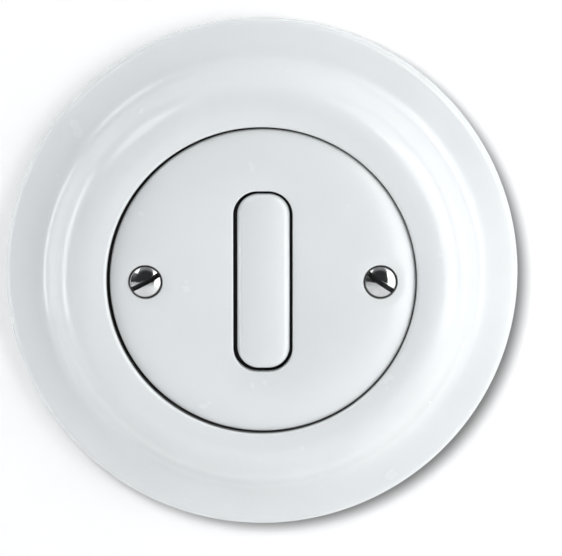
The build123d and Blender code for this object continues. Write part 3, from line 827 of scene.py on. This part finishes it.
def stage_material(name, colour, lift, shaded):
    """Matt pale stage that is seen lifted towards white, and not at all from behind; where shaded, a contact
    shadow is painted on it.
    """
    material, tree, shader = tree_of(name)
    shader.inputs["Roughness"].default_value = 0.9
    shader.inputs["Specular IOR Level"].default_value = 0.1
    grain = ramp(tree, noise(tree, 40.0, 3.0), [(0.3, tuple(c * 0.985 for c in colour)), (0.7, colour)])
    rays = tree.nodes.new("ShaderNodeLightPath")
    seen = math_node(tree, "MAXIMUM", rays.outputs["Is Camera Ray"], rays.outputs["Is Glossy Ray"])
    seen = math_node(tree, "MAXIMUM", seen, rays.outputs["Is Transmission Ray"])
    strength = math_node(tree, "MULTIPLY", seen, lift)
    if shaded:
        shade = contact_shade(tree)
        darkened = tree.nodes.new("ShaderNodeVectorMath")
        darkened.operation = "SCALE"
        tree.links.new(grain, darkened.inputs[0])
        tree.links.new(shade, darkened.inputs["Scale"])
        grain = darkened.outputs["Vector"]
        strength = math_node(tree, "MULTIPLY", strength, shade)
    tree.links.new(grain, shader.inputs["Base Color"])
    glow = tree.nodes.new("ShaderNodeEmission")
    glow.inputs["Color"].default_value = (1, 1, 1, 1)
    tree.links.new(strength, glow.inputs["Strength"])
    both = tree.nodes.new("ShaderNodeAddShader")
    tree.links.new(shader.outputs[0], both.inputs[0])
    tree.links.new(glow.outputs[0], both.inputs[1])
    clear = tree.nodes.new("ShaderNodeBsdfTransparent")
    side = tree.nodes.new("ShaderNodeNewGeometry")
    mix = tree.nodes.new("ShaderNodeMixShader")
    tree.links.new(side.outputs["Backfacing"], mix.inputs[0])
    tree.links.new(both.outputs[0], mix.inputs[1])
    tree.links.new(clear.outputs[0], mix.inputs[2])
    tree.links.new(mix.outputs[0], tree.nodes["Material Output"].inputs["Surface"])
    return material


def make_stage():
    """Wall with a hole for the box, hidden behind the frame, and a floor well below."""
    vertices = []
    faces = []
    half = WALL_SIZE / 2 / MM
    for k in range(WALL_SEGMENTS):
        angle = 2 * math.pi * k / WALL_SEGMENTS
        c, s = math.cos(angle), math.sin(angle)
        reach = half / max(abs(c), abs(s))
        vertices += [(WALL_HOLE * c, WALL_HOLE * s, 0), (reach * c, reach * s, 0)]
    for k in range(WALL_SEGMENTS):
        a, b = 2 * k, 2 * ((k + 1) % WALL_SEGMENTS)
        faces.append((a, a + 1, b + 1, b))
    mesh = bpy.data.meshes.new("wall")
    mesh.from_pydata([place(*v) for v in vertices], [], faces)
    wall = bpy.data.objects.new("wall", mesh)
    bpy.context.scene.collection.objects.link(wall)
    wall.data.materials.append(stage_material("wall_white", WALL_COLOUR, WALL_LIFT, True))
    bpy.ops.mesh.primitive_plane_add(size=2 * WALL_SIZE, location=(0, 0, -FLOOR_DROP))
    floor = bpy.context.object
    floor.name = "floor"
    floor.data.materials.append(stage_material("floor_white", FLOOR_COLOUR, FLOOR_LIFT, False))


def make_room():
    """World with its own strength on each side, and a front that is darker in reflections."""
    world = bpy.data.worlds.new("room")
    bpy.context.scene.world = world
    world.use_nodes = True
    tree = world.node_tree
    coords = tree.nodes.new("ShaderNodeTexCoord")
    parts = tree.nodes.new("ShaderNodeSeparateXYZ")
    tree.links.new(coords.outputs["Generated"], parts.inputs[0])
    inner, outer = (-math.cos(math.radians(angle)) for angle in ROOM_FRONT_CONE)
    beside = map_range(tree, parts.outputs["Y"], inner, outer, soft=True)
    total = 0.0
    for axis, sign, strength in (("X", -1, ROOM["left"]), ("X", 1, ROOM["right"]),
                                 ("Z", 1, ROOM["top"]), ("Z", -1, ROOM["bottom"]),
                                 ("Y", 1, ROOM["back"])):
        facing = math_node(tree, "MULTIPLY", parts.outputs[axis], sign, clamp=True)
        total = math_node(tree, "ADD", total, math_node(tree, "MULTIPLY", facing, strength))
    sides = math_node(tree, "MULTIPLY", total, beside)
    ahead = math_node(tree, "SUBTRACT", 1.0, beside)
    rays = tree.nodes.new("ShaderNodeLightPath")
    gloss = math_node(tree, "MULTIPLY", rays.outputs["Is Glossy Ray"], 1.0 - ROOM_FRONT_GLOSS)
    front_strength = math_node(tree, "MULTIPLY", math_node(tree, "SUBTRACT", 1.0, gloss), ROOM["front"])
    front = math_node(tree, "MULTIPLY", ahead, front_strength)
    background = tree.nodes["Background"]
    background.inputs["Color"].default_value = (*ROOM_COLOUR, 1)
    tree.links.new(math_node(tree, "ADD", sides, front), background.inputs["Strength"])


def make_lights():
    """Soft lamps round the object, and the room."""
    for name, (position, size, power) in LAMPS.items():
        area_light(name, position, size, power)
    make_room()


bpy.context.scene.view_settings.view_transform = "Standard"
make_camera()
make_stage()
make_lights()

materials = make_materials()
slot_of = {row["node"]: row["material_slot"] for row in frame["record"]["subparts"]}
for node, obj in frame["nodes"].items():
    obj.data.materials.clear()
    obj.data.materials.append(materials[slot_of[node]])

dress(frame_mesh(), "insert", ["cover_frame"], materials["frame_glaze"])
plate = centre_plate_mesh()
smooth(plate, 50)
dress(plate, "insert", ["centre_plate"], materials["plate_glaze"])
key = key_mesh()
key.data.transform(Matrix.Translation(place(*KEY_SHIFT, 0)))
smooth(key, 50)
dress(key, "key", ["push_key"], materials["key_glaze"])
for side in ("left", "right"):
    node = f"plate_screw_{side}"
    dress(screw_mesh(side), "insert", [node], materials["screw_nickel"])

for node, (body, joint, low, free, pressed) in SPRINGS.items():
    wire = bpy.data.objects.new(f"{node}_wire", frame["nodes"][node].data.copy())
    bpy.context.scene.collection.objects.link(wire)
    wire.matrix_world = frame["nodes"][node].matrix_world.copy()
    dress(wire, body, [node], materials["spring_steel"])
    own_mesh(wire)
